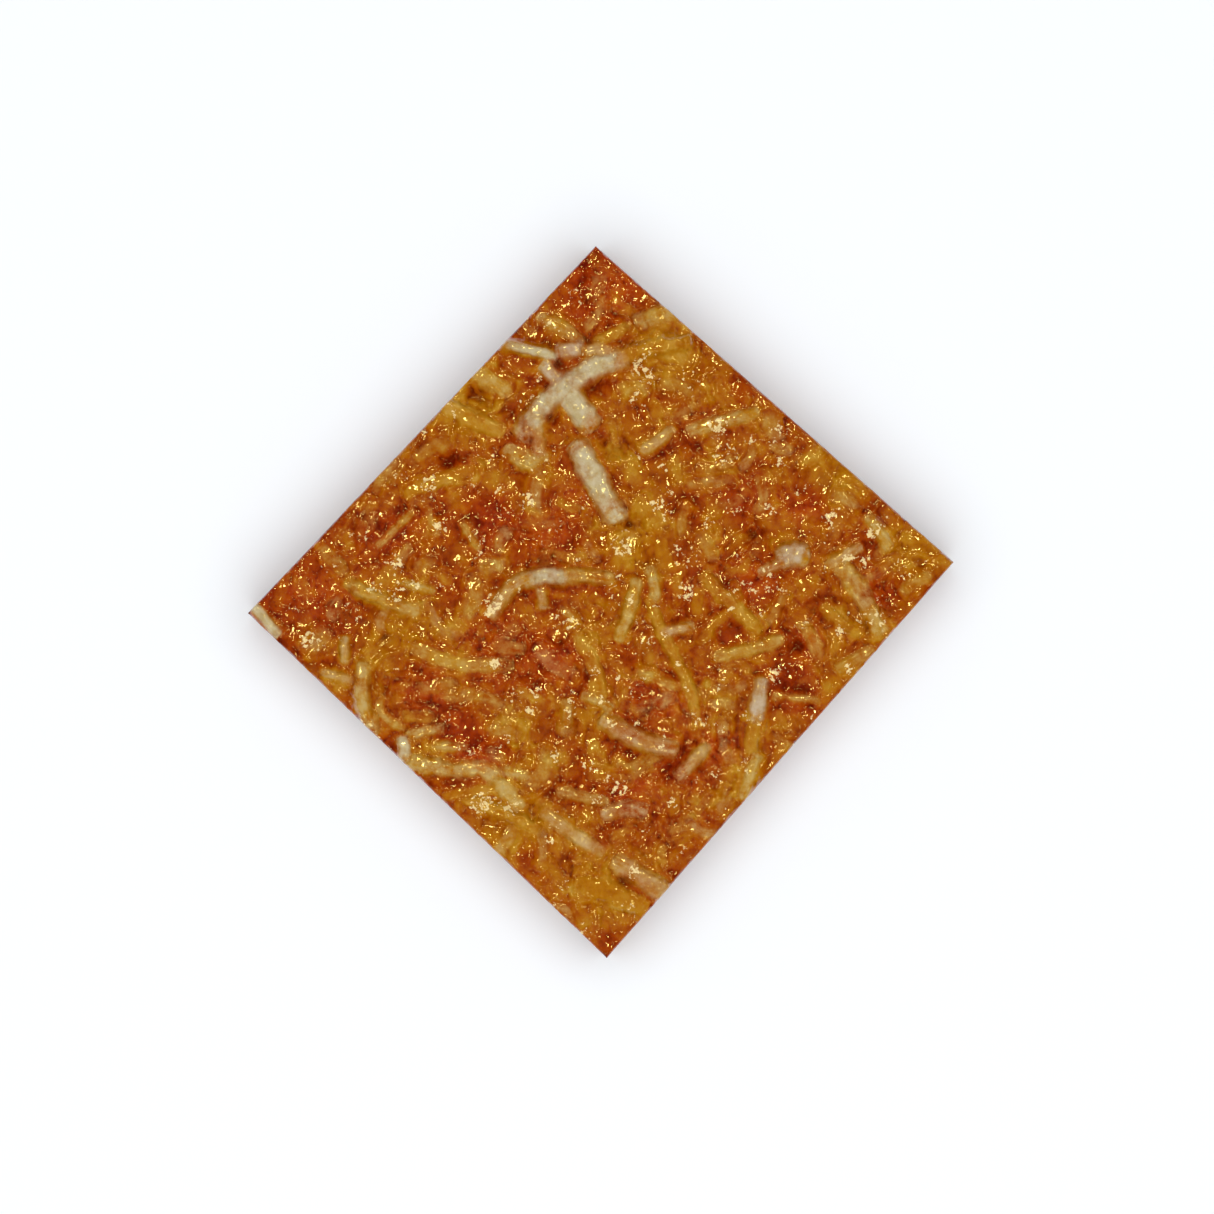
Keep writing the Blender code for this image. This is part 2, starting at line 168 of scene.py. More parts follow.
# The long shreds, each with its flesh, its width, how far its back stands above the caramel,
# and the points (x, y) that it runs through, all in millimetres.
LONG_SHREDS = [
    ("cream", 2.6, 0.95, [(2.2, 22.0), (-1.0, 20.9), (-4.6, 18.3), (-7.2, 14.9)]),
    ("gold", 1.9, 1.00, [(7.9, 23.4), (4.6, 22.9), (1.0, 21.8)]),
    ("blush", 1.9, 0.75, [(-5.2, 21.4), (-4.2, 20.3), (-3.6, 19.4)]),
    ("cream", 3.1, 0.80, [(-3.5, 19.2), (-2.3, 17.7), (-0.8, 15.8)]),
    ("cream", 1.2, 0.90, [(-8.8, 23.3), (-6.4, 22.7), (-4.0, 22.1)]),
    ("blush", 2.0, 0.70, [(-3.9, 22.5), (-2.8, 22.7), (-1.8, 22.8)]),
    ("pink", 1.5, 0.60, [(-1.6, 22.6), (-0.2, 22.8), (1.2, 22.4)]),
    ("cream", 3.0, 0.90, [(-2.2, 14.1), (-0.4, 10.8), (1.5, 7.6)]),
    ("pink", 1.8, 0.60, [(-6.0, 16.4), (-5.6, 14.6), (-5.6, 13.3)]),
    ("straw", 1.4, 0.50, [(-8.3, 14.0), (-7.2, 12.6), (-5.6, 12.4)]),
    ("blush", 2.9, 0.95, [(16.3, 3.9), (17.4, 4.3), (18.4, 4.2)]),
    ("pink", 1.2, 0.50, [(14.3, 2.7), (15.4, 3.2), (16.7, 3.6)]),
    ("straw", 1.7, 0.75, [(1.0, 2.2), (-1.4, 2.4), (-3.7, 2.4)]),
    ("cream", 2.0, 1.00, [(-3.3, 2.2), (-5.2, 2.4), (-6.8, 2.0)]),
    ("pink", 1.7, 0.85, [(-6.6, 2.3), (-8.2, 1.2), (-10.0, -1.2)]),
    ("pink", 1.2, 0.50, [(-5.5, 1.3), (-5.3, 0.4), (-5.2, -0.5)]),
    ("straw", 1.8, 0.80, [(-21.4, -5.6), (-21.5, -8.8), (-20.5, -11.7)]),
    ("cream", 1.3, 0.50, [(-31.9, 0.2), (-30.5, -1.2), (-29.1, -3.0)]),
    ("pink", 1.1, 0.55, [(-23.1, -3.2), (-23.1, -4.3), (-23.1, -5.4)]),
    ("pink", 1.1, 0.50, [(-25.1, -6.3), (-23.7, -6.7), (-22.2, -7.1)]),
    ("blush", 1.9, 0.75, [(14.5, -7.0), (14.2, -8.8), (13.9, -10.6)]),
    ("gold", 1.7, 0.50, [(13.9, -10.8), (13.6, -12.2), (13.4, -13.5)]),
    ("pink", 2.2, 0.95, [(0.2, -10.6), (3.2, -12.3), (6.7, -13.3)]),
    ("cream", 1.6, 0.60, [(-17.9, -12.2), (-17.7, -13.1), (-17.8, -14.2)]),
    ("straw", 1.1, 0.50, [(-15.1, -12.9), (-13.6, -13.0), (-12.1, -13.1)]),
    ("pink", 1.5, 0.60, [(6.9, -15.8), (8.2, -14.4), (9.6, -12.9)]),
    ("straw", 1.3, 0.60, [(24.1, 7.7), (25.0, 6.3), (26.0, 4.9)]),
    ("pink", 1.4, 0.50, [(3.8, 13.6), (5.0, 14.5), (6.5, 15.6)]),
    ("straw", 1.5, 0.70, [(3.2, 2.0), (2.6, -0.7), (1.6, -3.4)]),
    ("straw", 1.3, 0.55, [(4.3, 3.1), (4.8, 1.5), (4.9, 0.0)]),
    ("pink", 1.2, 0.50, [(5.3, -2.9), (6.7, -2.5), (8.3, -2.1)]),
    ("gold", 1.4, 0.60, [(4.4, 0.2), (5.3, -2.1), (6.5, -4.5), (8.0, -7.9), (8.7, -11.2)]),
    ("gold", 1.8, 0.60, [(9.2, 2.4), (11.6, 0.0), (14.3, -2.5)]),
    ("tan", 1.6, 0.60, [(10.4, -4.9), (13.4, -4.3), (16.3, -3.4)]),
    ("straw", 2.4, 0.60, [(21.3, 3.6), (23.1, 1.1), (25.1, -2.7)]),
    ("gold", 1.3, 0.65, [(20.1, -0.4), (21.5, -1.6), (23.1, -2.9)]),
    ("pink", 1.3, 0.55, [(20.4, 3.3), (21.9, 4.2), (23.4, 5.0)]),
    ("straw", 1.6, 0.55, [(7.9, 15.4), (10.3, 16.2), (14.1, 17.1)]),
    ("straw", 2.3, 0.55, [(3.3, 25.1), (5.3, 25.8), (7.8, 26.7)]),
    ("gold", 1.3, 0.50, [(-0.4, 23.3), (1.0, 24.2), (2.6, 25.0)]),
    ("straw", 1.6, 0.50, [(-5.7, 25.7), (-3.7, 24.8), (-1.7, 23.5)]),
    ("straw", 2.3, 0.45, [(-11.4, 21.0), (-10.0, 20.0), (-8.4, 18.9)]),
    ("gold", 2.3, 0.60, [(-14.9, 18.3), (-11.8, 16.6), (-8.9, 15.4)]),
    ("straw", 1.8, 0.50, [(-8.6, 13.8), (-6.8, 13.2), (-4.9, 13.0)]),
    ("tan", 0.9, 0.45, [(-20.1, 5.0), (-18.6, 6.5), (-16.9, 8.2)]),
    ("tan", 0.9, 0.50, [(-12.5, 7.1), (-11.8, 6.0), (-11.0, 4.8)]),
    ("straw", 1.5, 0.70, [(-22.9, 1.8), (-20.4, 0.5), (-16.6, -0.8)]),
    ("straw", 0.8, 0.50, [(-17.8, 1.8), (-16.5, 1.4), (-15.0, 1.0)]),
    ("tan", 2.0, 0.35, [(-16.9, -4.2), (-13.1, -5.5), (-8.0, -5.7)]),
    ("tan", 2.0, 0.35, [(-9.7, -3.8), (-8.4, -4.1), (-6.9, -4.2)]),
    ("gold", 2.1, 0.45, [(-2.0, -3.2), (-0.5, -6.3), (0.0, -9.1)]),
    ("tan", 1.3, 0.45, [(3.3, -6.2), (5.1, -7.0), (7.1, -7.8)]),
    ("tan", 0.9, 0.45, [(15.5, -8.5), (17.5, -8.6), (19.5, -8.8)]),
    ("tan", 1.5, 0.50, [(21.4, -6.0), (22.7, -5.2), (24.4, -4.3)]),
    ("tan", 1.5, 0.45, [(27.2, 1.0), (28.3, 1.7), (29.6, 2.5)]),
    ("straw", 1.5, 0.50, [(14.1, -13.8), (13.4, -15.6), (12.8, -17.6)]),
    ("pink", 2.5, 0.80, [(1.3, -23.3), (4.0, -25.0), (6.3, -26.7)]),
    ("pink", 2.0, 0.50, [(0.2, -19.2), (2.2, -18.6), (4.0, -18.9)]),
    ("straw", 1.3, 0.60, [(-1.6, -8.4), (-0.3, -8.9), (0.9, -9.6)]),
    ("straw", 1.2, 0.60, [(-3.2, -8.9), (-3.0, -10.3), (-3.3, -11.8)]),
    ("amber", 2.6, 0.55, [(-2.1, -25.4), (0.4, -25.9), (4.0, -27.6)]),
    ("gold", 1.5, 0.70, [(-12.4, -17.7), (-9.1, -18.9), (-5.7, -20.5)]),
    ("straw", 2.1, 0.60, [(-17.8, -14.1), (-13.6, -15.1), (-10.4, -15.1), (-8.2, -17.4), (-7.3, -18.5)]),
    ("amber", 1.2, 0.45, [(-14.2, -17.5), (-11.8, -17.1), (-8.9, -16.7)]),
    ("pink", 1.8, 0.50, [(-5.2, -19.0), (-2.3, -21.0), (0.1, -22.5)]),
    ("straw", 1.3, 0.50, [(-3.9, -17.0), (-1.7, -17.5), (0.5, -18.0)]),
    ("straw", 1.3, 0.50, [(-17.4, -12.1), (-15.9, -11.6), (-14.3, -11.3)]),
    ("gold", 1.5, 0.50, [(-17.8, -10.2), (-16.5, -10.3), (-15.2, -10.5)]),
    ("tan", 0.9, 0.40, [(-20.0, -8.6), (-19.7, -10.2), (-17.5, -11.4)]),
    ("amber", 1.7, 0.40, [(-17.6, 9.7), (-14.7, 10.9), (-11.6, 11.9)]),
    ("gold", 2.2, 0.35, [(3.5, 22.9), (5.8, 22.5), (8.2, 22.0)]),
]

# Shorter shreds lie between them under a coat of caramel, and drowned ones only lift its skin.
SHORT_COUNT = 95
SHORT_LENGTH = (2.0, 4.6)
SHORT_WIDTH = (1.1, 2.0)
SHORT_RISE = (-0.04, 0.18)
SHORT_FLESH = ["gold", "amber", "tan", "rose", "tan", "straw"]
SHORT_ROOM = 1.7
DROWNED_COUNT = 170
DROWNED_LENGTH = (1.6, 3.8)
DROWNED_WIDTH = (1.3, 2.4)
DROWNED_RISE = (-0.20, 0.06)
DROWNED_FLESH = ["gold", "amber", "tan", "amber", "amber", "gold"]
DROWNED_ROOM = 1.2
SCATTER_SEED = 29
SCATTER_REACH = 32.0  # how far from the origin they are drawn
MOST_BOW = 0.6  # how far a shred's middle is bowed out at most

# How much of a shred's own flesh the glaze leaves bare, for the palest ones.
BARE_FLESH = {"cream": 1.0, "blush": 0.9, "pink": 0.55, "rose": 0.35}
END_DIP = 0.30  # how far a shred's ends dive into the caramel
SPINE_POINTS = 28
CURVE_STEPS = 12  # steps of the smooth curve between two of its given points

# Relief of the poured top, as (wavelength, height), and the hollows left open between shreds.
SWELLS = [(9.0, 0.42), (3.4, 0.26)]
HOLLOWS = [
    (3.2, 25.5, 1.2, 0.88),
    (-0.9, 19.5, 1.0, 0.9),
    (-3.9, 21.5, 0.6, 0.7),
    (-4.5, 16.7, 0.8, 0.8),
    (-1.2, 23.6, 0.8, 0.6),
    (-13.6, 12.5, 0.8, 0.5),
    (11.2, -12.4, 0.7, 0.6),
    (1.6, 14.3, 1.1, 0.8),
    (2.7, 7.4, 0.9, 0.64),
    (14.0, 6.1, 1.0, 0.64),
    (-11.0, 18.8, 1.1, 0.72),
    (-19.5, -3.2, 0.6, 0.64),
    (17.8, -4.0, 0.6, 0.56),
    (6.9, -0.7, 0.9, 0.48),
    (26.0, 0.7, 1.5, 0.4),
    (1.9, -25.0, 0.9, 0.64),
    (-19.1, -7.5, 0.9, 0.56),
    (5.3, -14.2, 1.4, 0.4),
]


def cut_corners():
    """The cut piece's corners in millimetres, anticlockwise from the near one."""
    points = np.array([vert.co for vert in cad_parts["brittle"].data.vertices]) / MM
    foot = points[points[:, 2] < 0.01][:, :2]
    found = [foot[:, 1].argmin(), foot[:, 0].argmax(), foot[:, 1].argmax(), foot[:, 0].argmin()]
    return foot[found]


CORNERS = cut_corners()


def distance_inside(points):
    """Distance of each (x, y) to the nearest cut side, negative outside the piece."""
    nearest = np.full(len(points), np.inf)
    for index, corner in enumerate(CORNERS):
        side = CORNERS[(index + 1) % 4] - corner
        inward = np.array([-side[1], side[0]]) / np.hypot(*side)
        nearest = np.minimum(nearest, (points - corner) @ inward)
    return nearest


def round_spot(points, x, y, radius):
    """How much of a soft round spot lies at each (x, y): 1 in its middle, fading at its radius."""
    reach = np.hypot(points[:, 0] - x, points[:, 1] - y) / radius
    return np.exp(-(reach**2))


def poured_height(points):
    """Height of the poured caramel at each (x, y), before any shred lifts it."""
    height = np.full(len(points), SLAB_HEIGHT)
    for wavelength, swell in SWELLS:
        lattice = [noise.noise(Vector((x, y, 0.0)) / wavelength) for x, y in points]
        height += swell * np.array(lattice)
    for x, y, radius, depth in HOLLOWS:
        height -= depth * round_spot(points, x, y, radius)
    return height


def smooth_path(points, count):
    """Points evenly spread along a smooth curve through the given ones."""
    points = np.array(points, float)
    padded = np.vstack([2 * points[0] - points[1], points, 2 * points[-1] - points[-2]])
    pieces = []
    for a, b, c, d in zip(padded, padded[1:], padded[2:], padded[3:]):
        share = np.linspace(0.0, 1.0, CURVE_STEPS, endpoint=False)[:, None]
        pieces.append(
            0.5
            * (
                2 * b
                + (c - a) * share
                + (2 * a - 5 * b + 4 * c - d) * share**2
                + (3 * b - a - 3 * c + d) * share**3
            )
        )
    dense = np.vstack(pieces + [points[-1:]])
    along = np.concatenate([[0.0], np.cumsum(np.hypot(*np.diff(dense, axis=0).T))])
    even = np.linspace(0.0, along[-1], count)
    return np.column_stack([np.interp(even, along, dense[:, axis]) for axis in (0, 1)])


def spine_of(flesh, width, rise, points):
    """A shred's own layout: its flesh, its width, and the line that its back follows."""
    line = smooth_path(points, SPINE_POINTS)
    share = np.linspace(-1.0, 1.0, SPINE_POINTS)
    back = poured_height(line) + rise - END_DIP * share**4
    return {"flesh": flesh, "width": width, "back": np.column_stack([line, back])}


def scattered(rng, count, lengths, widths, rises, fleshes, room, taken):
    """Shreds drawn one by one, each kept only where there is room for its middle."""
    found = []
    while len(found) < count:
        middle = np.array([rng.uniform(-SCATTER_REACH, SCATTER_REACH) for axis in (0, 1)])
        heading = rng.uniform(0.0, math.pi)
        half = rng.uniform(*lengths) / 2
        width = rng.uniform(*widths)
        rise = rng.uniform(*rises)
        bow = rng.uniform(-MOST_BOW, MOST_BOW)
        flesh = rng.choice(fleshes)
        if distance_inside(middle[None])[0] < 0.0:
            continue
        if taken and np.hypot(*(np.array(taken) - middle).T).min() < room:
            continue
        along = np.array([math.cos(heading), math.sin(heading)])
        across = np.array([-along[1], along[0]])
        path = [middle - half * along, middle + bow * across, middle + half * along]
        found.append(spine_of(flesh, width, rise, path))
        taken.append(middle)
    return found


scatter = random.Random(SCATTER_SEED)
long_shreds = [spine_of(*row) for row in LONG_SHREDS]
bare_shreds = [shred for shred in long_shreds if shred["flesh"] in BARE_FLESH]
glazed_shreds = [shred for shred in long_shreds if shred["flesh"] not in BARE_FLESH]
places_taken = [point for shred in long_shreds for point in shred["back"][::5, :2]]
short_shreds = scattered(
    scatter, SHORT_COUNT, SHORT_LENGTH, SHORT_WIDTH, SHORT_RISE, SHORT_FLESH, SHORT_ROOM, places_taken
)
drowned_shreds = scattered(
    scatter,
    DROWNED_COUNT,
    DROWNED_LENGTH,
    DROWNED_WIDTH,
    DROWNED_RISE,
    DROWNED_FLESH,
    DROWNED_ROOM,
    [],
)


# ---- The caramel ----
# Sugar boiled to an amber glass holds the shreds. It climbs up their flanks, draws over the
# drowned ones, sets with a grain of tiny bubbles, and is cut through with a knife.

TOP_CELLS = 290
SIDE_ROWS = 12
BEVEL = 0.16  # how far the knife rounds the upper rim
SIDE_DENT = 0.10  # how far the cut sides are dented

BIT_SIZE = 1.25
BIT_HEIGHT = 0.20
GRAIN_SIZE = 0.70
GRAIN_HEIGHT = 0.07
GRAIN_PATCH = 3.1  # size of the patches where it is rougher or smoother
LEAST_GRAIN = 0.25
WARP = 0.45  # how far the cells of bits and grains are bent out of line
WARP_SEED = 7  # without it Blender would draw the bends anew each run, by the clock
DOME_FALL = 1.6  # how steeply a lump falls from its middle
LUMP_SIZE = 1.7
LUMP_HEIGHT = 0.16

# How each kind of shred is coated: how far its skin stands above its own back, how softly the
# caramel meets it, how deep the crease beside it is, how clearly it shows at most, and how
# uneven its outline is.
MOAT = 0.08
DROWNED_COAT = {"cover": 0.06, "softness": 0.24, "moat": 0.0, "most": 0.45, "raggedness": 1.0}
SHORT_COAT = {"cover": 0.02, "softness": 0.14, "moat": 0.5 * MOAT, "most": 0.75, "raggedness": 1.0}
GLAZED_COAT = {"cover": -0.10, "softness": 0.20, "moat": MOAT, "most": 1.0, "raggedness": 1.0}
BARE_COAT = {"cover": -0.06, "softness": 0.20, "moat": MOAT, "most": 1.0, "raggedness": 0.45}

NEAR_WIDTHS, NEAR_ROOM = 2.2, 0.3  # a shred changes the skin this far from its spine
FLAT_SHARE = 0.40  # the part of a shred's width that is flat on top
SHOULDER_DROP = 0.8
CROWN_DROP = 0.08
CROWN_RELIEF = 0.5  # how much of the caramel's own relief a shred's back shows
LEAN = 0.13  # how far a shred's back leans to one side or the other
LEAN_DRAW = 2.3  # spreads the leans from shred to shred
TWIST = 0.12  # how fast it leans over to the other side along its length
BLUNT = 2.4  # its end reaches this many times less far from the spine than its flank

# Unevenness of a shred's outline, as (wavelength, share of its width).
SWOLLEN = (2.1, 0.30)
RAGGED = (0.9, 0.30)
NICKED = (0.4, 0.14)

# What lies beside a shred, with its middle and its reach in half widths from the spine.
COLLAR = 0.18  # how far the caramel climbs where it touches a shred
COLLAR_PLACE = (1.05, 0.32)
MOAT_PLACE = (1.25, 0.28)
MOAT_SIDE = 0.25  # the crease lies to the near side of this, in half widths
MOAT_WAVE = 0.7  # how fast it comes and goes along the shred

# Where each look of a shred starts and is whole, in half widths from the spine.
SHOWS_EDGE = (1.15, 0.30)
BARE_EDGE = (1.10, 0.35)
HALO_EDGE = (2.0, 0.9)
SEEN_RISE = (-0.40, 0.10)  # a shred is seen once its back comes this near the skin
FAINTEST = 0.55  # how clearly the faintest of its kind shows
GOLDEN_RATIO = 0.618  # its multiples spread the kinds' clearness evenly
GLAZED_END = 0.30  # how much of a bare shred's length is glazed again at an end
STRAND_APART = 40.0  # keeps one shred's fibres from running on into the next

PEAK = 0.35  # lift above which a shred no longer darkens what lies beside it
BLUR_STEPS = 34
CREASE_STEPS = 6
HALO_GOLD = 0.55  # how much less boiled the sugar is that clings to a shred
BOILED_SIZE = 4.5  # size of the drifts of longer and shorter boiled sugar
BOILED_DRIFT = 0.55
WALL_SLOPE = 0.25  # faces steeper than this are the knife's wall

# The ends of buried shreds in the flat faces: each layer's heading, and its size in millimetres.
ENDS_WOBBLE = 0.7
EMPTY_SHARE = 0.70  # the share of the cells that hold no end
ENDS_LAYERS = [(0.35, (2.4, 1.2)), (-0.5, (3.0, 1.3)), (1.25, (1.7, 1.1)), (0.05, (3.2, 1.0))]

# The sugar's colours from its deepest hollows, darkest partly for thicker caramel and partly as painted
# shade, to its highest bumps, as (position, colour).
LONG_BOILED = [
    (0.0, screen_colour(96, 20, 0)),
    (0.14, screen_colour(122, 36, 0)),
    (0.32, screen_colour(148, 54, 0)),
    (0.50, screen_colour(163, 74, 0)),
    (0.68, screen_colour(172, 93, 0)),
    (0.85, screen_colour(178, 118, 12)),
    (1.0, screen_colour(192, 146, 50)),
]
JUST_BOILED = [
    (0.0, screen_colour(98, 36, 0)),
    (0.18, screen_colour(130, 66, 0)),
    (0.40, screen_colour(157, 87, 0)),
    (0.60, screen_colour(171, 105, 2)),
    (0.80, screen_colour(182, 127, 24)),
    (1.0, screen_colour(196, 153, 64)),
]
CUT_SUGAR = [
    (0.0, screen_colour(98, 28, 0)),
    (0.30, screen_colour(134, 52, 0)),
    (0.65, screen_colour(160, 82, 0)),
    (1.0, screen_colour(176, 110, 8)),
]
REDDENED = (1.14, 0.76, 0.5, 1.0)  # multiplies the colour where the sugar boiled longest
FLESH_SPECK = (0.79, 0.70, 0.42, 1.0)
# The near-white of the painted highlight.
PAINTED_GLINT_COLOUR = screen_colour(246, 220, 156)

# The textures' scales for each metre, and the two materials' bump heights in metres.
RIPPLE_SCALE = 1150.0
BUBBLE_SCALE = 1050.0
MOTTLE_SCALE = 1100.0
BROAD_SCALE = 330.0
SEAM_SCALE = 420.0
PAINTED_GLINT_SCALE = 2400.0
FIBRE_SCALE = (0.8, 2.6, 1.0)
NOISE_SPAN = (0.3, 0.7)  # nearly all of a noise texture's values lie between these
TOP_BUMP = 0.00005
CUT_BUMP = 0.00006

# Where the sugar boiled long, and is deep red, as (x, y, radius), and where it stayed golden.
DEEP_POOLS = [
    (-10.9, -13.6, 1.7),
    (-13.1, -11.5, 1.5),
    (-4.1, 6.0, 2.6),
    (-10.0, 7.9, 2.6),
    (-5.5, -4.3, 2.4),
    (17.9, -7.9, 2.2),
    (14.3, 2.0, 2.0),
    (1.0, 29.3, 2.6),
    (12.5, 9.2, 1.8),
    (4.4, -8.8, 2.2),
    (10.7, -12.9, 1.8),
    (25.1, 1.1, 1.3),
    (-2.8, -5.2, 1.6),
    (-20.0, 6.0, 2.2),
    (3.0, -17.5, 2.2),
    (-24.0, -1.0, 1.8),
    (-0.3, 30.6, 3.0),
    (0.6, 26.6, 1.8),
    (-29.0, 1.4, 2.8),
    (-16.6, -7.4, 2.4),
    (-13.4, -12.0, 2.6),
    (-12.7, 12.8, 1.6),
    (18.8, -3.8, 1.8),
    (-9.4, -3.0, 2.2),
    (6.7, -15.6, 1.6),
    (18.8, 8.8, 1.6),
]
GOLDEN_POOLS = [
    (6.2, 21.8, 3.0),
    (-11.8, 16.4, 3.4),
    (-18.1, -2.6, 3.2),
    (3.6, 4.6, 3.2),
    (21.7, 11.6, 2.6),
    (-14.5, -12.9, 2.4),
    (-7.3, -19.6, 3.4),
    (20.6, -6.6, 2.6),
    (13.4, -16.0, 2.2),
    (24.2, -1.6, 1.8),
    (-1.0, -10.6, 1.8),
    (0.4, -26.5, 2.4),
    (27.5, 4.6, 2.6),
    (6.4, 11.4, 2.0),
]

# Painted highlights: where white glint is painted into the glaze's colour, as (x, y, radius).
PAINTED_GLINT_SPOTS = [
    (-9.5, 0.2, 1.2),
    (-10.3, -0.9, 0.7),
    (3.1, -11.2, 0.8),
    (1.0, -10.8, 0.6),
    (0.0, -8.8, 0.7),
    (-2.8, -9.9, 0.7),
    (-4.1, -13.9, 0.7),
    (-0.4, -17.7, 0.7),
    (2.0, -16.7, 0.6),
    (6.4, -18.0, 0.7),
    (-8.2, -19.1, 0.8),
    (-10.9, -18.0, 0.8),
    (3.4, 21.0, 1.0),
    (4.5, 20.2, 0.8),
    (23.8, 3.8, 0.8),
    (-20.4, 1.2, 0.9),
    (-18.5, 0.1, 0.7),
    (-16.7, 1.5, 0.7),
    (-18.1, 3.8, 0.7),
    (-15.4, 11.0, 0.7),
    (-9.1, 10.1, 0.7),
    (-6.7, 9.5, 0.7),
    (-14.5, 6.8, 0.8),
    (-26.2, -3.1, 0.6),
    (16.1, 12.6, 0.7),
    (12.5, 4.2, 0.6),
    (20.4, 7.4, 0.9),
    (24.5, 6.5, 0.7),
    (22.2, 4.1, 0.8),
    (21.5, -2.5, 0.7),
    (22.2, -5.8, 0.6),
    (7.4, 0.8, 0.7),
    (14.6, 2.9, 0.6),
    (9.6, 7.1, 0.7),
    (10.7, 16.0, 0.8),
    (3.1, -24.3, 0.9),
    (-22.0, -13.0, 0.6),
    (5.5, 12.0, 0.7),
    (-0.6, -6.2, 0.7),
    (11.8, -0.6, 0.6),
    (-4.7, -21.6, 0.7),
    (4.8, -0.5, 0.5),
    (5.6, -2.9, 0.5),
    (6.9, -5.5, 0.5),
    (7.8, -8.0, 0.5),
    (8.5, -10.2, 0.5),
    (2.3, 4.7, 0.8),
    (1.6, -6.7, 0.6),
    (-9.5, -5.4, 0.7),
    (-2.5, -1.9, 0.7),
    (2.7, 0.1, 0.8),
    (7.8, 1.2, 0.8),
    (5.4, -12.9, 0.7),
    (-6.5, -9.8, 0.7),
    (4.7, 8.9, 0.7),
    (6.8, 5.0, 0.6),
    (13.4, 14.6, 0.7),
    (15.2, 8.6, 0.5),
    (14.6, -1.0, 0.6),
    (9.6, -5.8, 0.5),
    (15.5, -6.4, 0.6),
]
PAINTED_GLINT_HAZE = 0.68  # how thickly they lie at most between the clusters
PAINTED_GLINT_CLUSTER = 1.1


def smooth_step(low, high, value):
    """0 below the low value, 1 above the high one, and an even S between them."""
    share = np.clip((value - low) / (high - low), 0.0, 1.0)
    return share * share * (3.0 - 2.0 * share)


def lattice_noise(points, size, offset=0.0):
    """Smooth noise between -1 and 1 at each (x, y), with lumps of this size."""
    return np.array([noise.noise(Vector((x / size, y / size, offset))) for x, y in points])


def cell_domes(points, size):
    """Round lumps packed side by side: 1 on top of each and 0 between, and a draw for each."""
    noise.seed_set(WARP_SEED)
    domes, draws = [], []
    for x, y in points:
        bend =noise.noise_vector(Vector((x, y, 4.0)) / (1.4 * size))
        spots = noise.voronoi(Vector((x / size + WARP * bend.x, y / size + WARP * bend.y, 0.5)))
        domes.append(max(0.0, 1.0 - DOME_FALL * spots[0][0] ** 2))
        draws.append(noise.cell(spots[1][0] * 7.3))
    return np.array(domes), np.array(draws)


def smooth_max(first, second, softness):
    """The larger of two heights, with the crease between them rounded."""
    mix = np.clip(0.5 + 0.5 * (second - first) / softness, 0.0, 1.0)
    return first * (1 - mix) + second * mix + softness * mix * (1 - mix)


def ridge(value, middle, reach):
    """A rounded ridge, 1 high in its middle."""
    return np.exp(-(((value - middle) / reach) ** 2))


def place_on_shred(points, spine):
    """Where each (x, y) is on a shred: the nearest step of its spine, and how far away from that
    it lies, in x and y, to its side, and past its end."""
    away = points[:, None] - spine
    nearest = np.hypot(away[..., 0], away[..., 1]).argmin(1)
    away = away[np.arange(len(points)), nearest]
    turn = np.gradient(spine, axis=0)[nearest]
    turn /= np.hypot(turn[:, 0], turn[:, 1])[:, None]
    aside = turn[:, 0] * away[:, 1] - turn[:, 1] * away[:, 0]
    onward = (turn * away).sum(1)
    beyond = np.where(nearest == 0, -onward, np.where(nearest == SPINE_POINTS - 1, onward, 0.0))
    return nearest, away, aside, np.maximum(beyond, 0.0)


def outline_wobble(points, number, raggedness):
    """How much a shred's outline draws in at each (x, y), around 1."""
    draw = 5.0 * number
    wobble = np.ones(len(points))
    for (size, share), weight in ((SWOLLEN, raggedness), (RAGGED, raggedness), (NICKED, 1.0)):
        wobble += weight * share * lattice_noise(points, size, draw)
    return wobble


